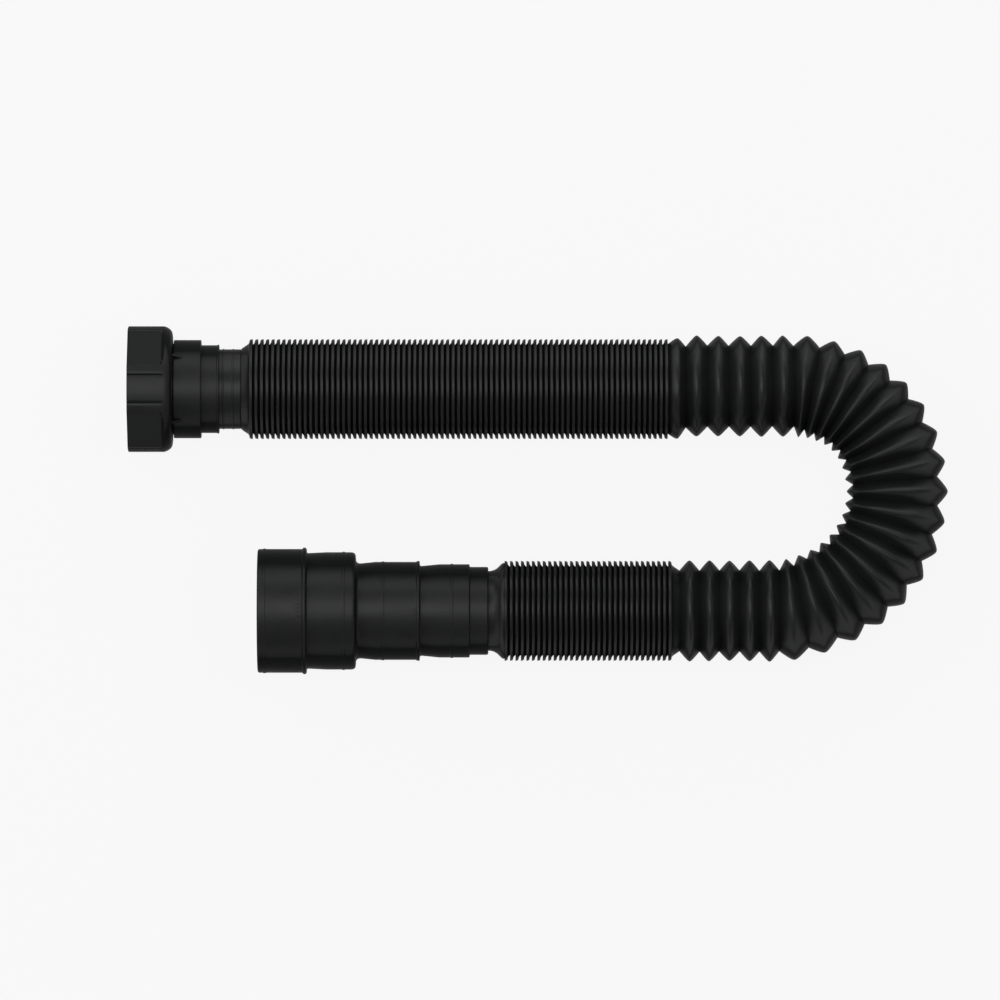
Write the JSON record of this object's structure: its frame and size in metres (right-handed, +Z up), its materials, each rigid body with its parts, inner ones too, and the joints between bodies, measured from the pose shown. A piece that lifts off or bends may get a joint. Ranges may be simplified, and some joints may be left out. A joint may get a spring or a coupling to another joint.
{
  "type": "p trap",
  "caption": "Extensible corrugated sink trap bent into a U: union nut with washer and sleeve, bellows tube that stretches and bends, stepped pipe adapter.",
  "frame": {"origin": "middle of the footprint, on the surface that the trap lies on", "axes": "+X along both legs from the open ends to the bend, +Y from the outlet leg to the inlet leg, +Z up, square to the U's plane"},
  "size_m": [0.334, 0.1419, 0.0516],
  "materials": {
    "fitting_polypropylene": "black injection-moulded polypropylene, satin",
    "tube_polypropylene": "black blow-moulded polypropylene, satin with a faint oily sheen",
    "washer_rubber": "dark grey nitrile rubber, matte"
  },
  "bodies": {
    "inlet": {"inlet_sleeve": "fitting_polypropylene", "sealing_washer": "washer_rubber", "tube_inlet_cuff": "tube_polypropylene"},
    "nut": {"union_nut": "fitting_polypropylene"},
    "inlet_pleats_1": {"tube_inlet_closed_pleats_01": "tube_polypropylene"},
    "inlet_pleats_2": {"tube_inlet_closed_pleats_02": "tube_polypropylene"},
    "inlet_pleats_3": {"tube_inlet_closed_pleats_03": "tube_polypropylene"},
    "inlet_pleats_4": {"tube_inlet_closed_pleats_04": "tube_polypropylene"},
    "inlet_pleats_5": {"tube_inlet_closed_pleats_05": "tube_polypropylene"},
    "inlet_pleats_6": {"tube_inlet_closed_pleats_06": "tube_polypropylene"},
    "inlet_pleats_7": {"tube_inlet_closed_pleats_07": "tube_polypropylene"},
    "inlet_open": {"tube_inlet_open_pleats": "tube_polypropylene"},
    "bend_1": {"tube_bend_pleat_01": "tube_polypropylene"},
    "bend_2": {"tube_bend_pleat_02": "tube_polypropylene"},
    "bend_3": {"tube_bend_pleat_03": "tube_polypropylene"},
    "bend_4": {"tube_bend_pleat_04": "tube_polypropylene"},
    "bend_5": {"tube_bend_pleat_05": "tube_polypropylene"},
    "bend_6": {"tube_bend_pleat_06": "tube_polypropylene"},
    "bend_7": {"tube_bend_pleat_07": "tube_polypropylene"},
    "bend_8": {"tube_bend_pleat_08": "tube_polypropylene"},
    "bend_9": {"tube_bend_pleat_09": "tube_polypropylene"},
    "bend_10": {"tube_bend_pleat_10": "tube_polypropylene"},
    "bend_11": {"tube_bend_pleat_11": "tube_polypropylene"},
    "bend_12": {"tube_bend_pleat_12": "tube_polypropylene"},
    "bend_13": {"tube_bend_pleat_13": "tube_polypropylene"},
    "bend_14": {"tube_bend_pleat_14": "tube_polypropylene"},
    "bend_15": {"tube_bend_pleat_15": "tube_polypropylene"},
    "bend_16": {"tube_bend_pleat_16": "tube_polypropylene"},
    "bend_17": {"tube_bend_pleat_17": "tube_polypropylene"},
    "outlet_open": {"tube_outlet_open_pleats": "tube_polypropylene"},
    "outlet_pleats_1": {"tube_outlet_closed_pleats_01": "tube_polypropylene"},
    "outlet_pleats_2": {"tube_outlet_closed_pleats_02": "tube_polypropylene"},
    "outlet_pleats_3": {"tube_outlet_closed_pleats_03": "tube_polypropylene"},
    "outlet": {"tube_outlet_cuff": "tube_polypropylene", "outlet_adapter": "fitting_polypropylene"}
  },
  "joints": [
    {"name": "nut_spin", "type": "hinge", "parent": "inlet", "child": "nut", "pos_m": [-0.15751, 0.04515, 0.0258], "axis": [1, 0, 0], "continuous": true},
    {"name": "inlet_stretch", "type": "slide", "parent": "inlet", "child": "inlet_pleats_1", "axis": [1, 0, 0], "range_m": [0, 0.03165]},
    {"name": "inlet_stretch_2", "type": "slide", "parent": "inlet_pleats_1", "child": "inlet_pleats_2", "axis": [1, 0, 0], "range_m": [0, 0.06963]},
    {"name": "inlet_stretch_3", "type": "slide", "parent": "inlet_pleats_2", "child": "inlet_pleats_3", "axis": [1, 0, 0], "range_m": [0, 0.06963]},
    {"name": "inlet_stretch_4", "type": "slide", "parent": "inlet_pleats_3", "child": "inlet_pleats_4", "axis": [1, 0, 0], "range_m": [0, 0.06963]},
    {"name": "inlet_stretch_5", "type": "slide", "parent": "inlet_pleats_4", "child": "inlet_pleats_5", "axis": [1, 0, 0], "range_m": [0, 0.06963]},
    {"name": "inlet_stretch_6", "type": "slide", "parent": "inlet_pleats_5", "child": "inlet_pleats_6", "axis": [1, 0, 0], "range_m": [0, 0.06963]},
    {"name": "inlet_stretch_7", "type": "slide", "parent": "inlet_pleats_6", "child": "inlet_pleats_7", "axis": [1, 0, 0], "range_m": [0, 0.06963]},
    {"name": "inlet_stretch_8", "type": "slide", "parent": "inlet_pleats_7", "child": "inlet_open", "axis": [1, 0, 0], "range_m": [0, 0.03798]},
    {"name": "bend_hinge_1", "type": "hinge", "parent": "inlet_open", "child": "bend_1", "pos_m": [0.10443, 0.06165, 0.0258], "axis": [0, 0, 1], "range_deg": [0, 5.29]},
    {"name": "bend_inlet_half", "type": "hinge", "parent": "bend_1", "child": "bend_2", "pos_m": [0.11496, 0.06067, 0.0258], "axis": [0, 0, 1], "range_deg": [0, 10.59]},
    {"name": "bend_hinge_3", "type": "hinge", "parent": "bend_2", "child": "bend_3", "pos_m": [0.12523, 0.05775, 0.0258], "axis": [0, 0, 1], "range_deg": [0, 10.59]},
    {"name": "bend_hinge_4", "type": "hinge", "parent": "bend_3", "child": "bend_4", "pos_m": [0.13487, 0.05295, 0.0258], "axis": [0, 0, 1], "range_deg": [0, 10.59]},
    {"name": "bend_hinge_5", "type": "hinge", "parent": "bend_4", "child": "bend_5", "pos_m": [0.14355, 0.04639, 0.0258], "axis": [0, 0, 1], "range_deg": [0, 10.59]},
    {"name": "bend_hinge_6", "type": "hinge", "parent": "bend_5", "child": "bend_6", "pos_m": [0.15095, 0.03828, 0.0258], "axis": [0, 0, 1], "range_deg": [0, 10.59]},
    {"name": "bend_hinge_7", "type": "hinge", "parent": "bend_6", "child": "bend_7", "pos_m": [0.15678, 0.02886, 0.0258], "axis": [0, 0, 1], "range_deg": [0, 10.59]},
    {"name": "bend_hinge_8", "type": "hinge", "parent": "bend_7", "child": "bend_8", "pos_m": [0.16082, 0.01844, 0.0258], "axis": [0, 0, 1], "range_deg": [0, 10.59]},
    {"name": "bend_hinge_9", "type": "hinge", "parent": "bend_8", "child": "bend_9", "pos_m": [0.16289, 0.00736, 0.0258], "axis": [0, 0, 1], "range_deg": [0, 10.59]},
    {"name": "bend_outlet_half", "type": "hinge", "parent": "bend_9", "child": "bend_10", "pos_m": [0.16289, -0.00402, 0.0258], "axis": [0, 0, 1], "range_deg": [0, 10.59]},
    {"name": "bend_hinge_11", "type": "hinge", "parent": "bend_10", "child": "bend_11", "pos_m": [0.16078, -0.0153, 0.0258], "axis": [0, 0, 1], "range_deg": [0, 10.59]},
    {"name": "bend_hinge_12", "type": "hinge", "parent": "bend_11", "child": "bend_12", "pos_m": [0.1566, -0.0261, 0.0258], "axis": [0, 0, 1], "range_deg": [0, 10.59]},
    {"name": "bend_hinge_13", "type": "hinge", "parent": "bend_12", "child": "bend_13", "pos_m": [0.15045, -0.03602, 0.0258], "axis": [0, 0, 1], "range_deg": [0, 10.59]},
    {"name": "bend_hinge_14", "type": "hinge", "parent": "bend_13", "child": "bend_14", "pos_m": [0.14252, -0.04473, 0.0258], "axis": [0, 0, 1], "range_deg": [0, 10.59]},
    {"name": "bend_hinge_15", "type": "hinge", "parent": "bend_14", "child": "bend_15", "pos_m": [0.13304, -0.05188, 0.0258], "axis": [0, 0, 1], "range_deg": [0, 10.59]},
    {"name": "bend_hinge_16", "type": "hinge", "parent": "bend_15", "child": "bend_16", "pos_m": [0.12232, -0.05722, 0.0258], "axis": [0, 0, 1], "range_deg": [0, 10.59]},
    {"name": "bend_hinge_17", "type": "hinge", "parent": "bend_16", "child": "bend_17", "pos_m": [0.1107, -0.06053, 0.0258], "axis": [0, 0, 1], "range_deg": [0, 10.59]},
    {"name": "bend_hinge_18", "type": "hinge", "parent": "bend_17", "child": "outlet_open", "pos_m": [0.09858, -0.06165, 0.0258], "axis": [0, 0, 1], "range_deg": [0, 5.29]},
    {"name": "outlet_stretch", "type": "slide", "parent": "outlet_open", "child": "outlet_pleats_1", "axis": [-1, 0, 0], "range_m": [0, 0.03165]},
    {"name": "outlet_stretch_2", "type": "slide", "parent": "outlet_pleats_1", "child": "outlet_pleats_2", "axis": [-1, 0, 0], "range_m": [0, 0.06963]},
    {"name": "outlet_stretch_3", "type": "slide", "parent": "outlet_pleats_2", "child": "outlet_pleats_3", "axis": [-1, 0, 0], "range_m": [0, 0.0633]},
    {"name": "outlet_stretch_4", "type": "slide", "parent": "outlet_pleats_3", "child": "outlet", "axis": [-1, 0, 0], "range_m": [0, 0.03165]}
  ],
  "couplings": [
    {"joint": "inlet_stretch_2", "follows": "inlet_stretch", "ratio": 2.2},
    {"joint": "inlet_stretch_3", "follows": "inlet_stretch", "ratio": 2.2},
    {"joint": "inlet_stretch_4", "follows": "inlet_stretch", "ratio": 2.2},
    {"joint": "inlet_stretch_5", "follows": "inlet_stretch", "ratio": 2.2},
    {"joint": "inlet_stretch_6", "follows": "inlet_stretch", "ratio": 2.2},
    {"joint": "inlet_stretch_7", "follows": "inlet_stretch", "ratio": 2.2},
    {"joint": "inlet_stretch_8", "follows": "inlet_stretch", "ratio": 1.2},
    {"joint": "bend_hinge_1", "follows": "bend_inlet_half", "ratio": 0.5},
    {"joint": "bend_hinge_3", "follows": "bend_inlet_half", "ratio": 1},
    {"joint": "bend_hinge_4", "follows": "bend_inlet_half", "ratio": 1},
    {"joint": "bend_hinge_5", "follows": "bend_inlet_half", "ratio": 1},
    {"joint": "bend_hinge_6", "follows": "bend_inlet_half", "ratio": 1},
    {"joint": "bend_hinge_7", "follows": "bend_inlet_half", "ratio": 1},
    {"joint": "bend_hinge_8", "follows": "bend_inlet_half", "ratio": 1},
    {"joint": "bend_hinge_9", "follows": "bend_inlet_half", "ratio": 1},
    {"joint": "bend_hinge_11", "follows": "bend_outlet_half", "ratio": 1},
    {"joint": "bend_hinge_12", "follows": "bend_outlet_half", "ratio": 1},
    {"joint": "bend_hinge_13", "follows": "bend_outlet_half", "ratio": 1},
    {"joint": "bend_hinge_14", "follows": "bend_outlet_half", "ratio": 1},
    {"joint": "bend_hinge_15", "follows": "bend_outlet_half", "ratio": 1},
    {"joint": "bend_hinge_16", "follows": "bend_outlet_half", "ratio": 1},
    {"joint": "bend_hinge_17", "follows": "bend_outlet_half", "ratio": 1},
    {"joint": "bend_hinge_18", "follows": "bend_outlet_half", "ratio": 0.5},
    {"joint": "outlet_stretch_2", "follows": "outlet_stretch", "ratio": 2.2},
    {"joint": "outlet_stretch_3", "follows": "outlet_stretch", "ratio": 2},
    {"joint": "outlet_stretch_4", "follows": "outlet_stretch", "ratio": 1}
  ]
}
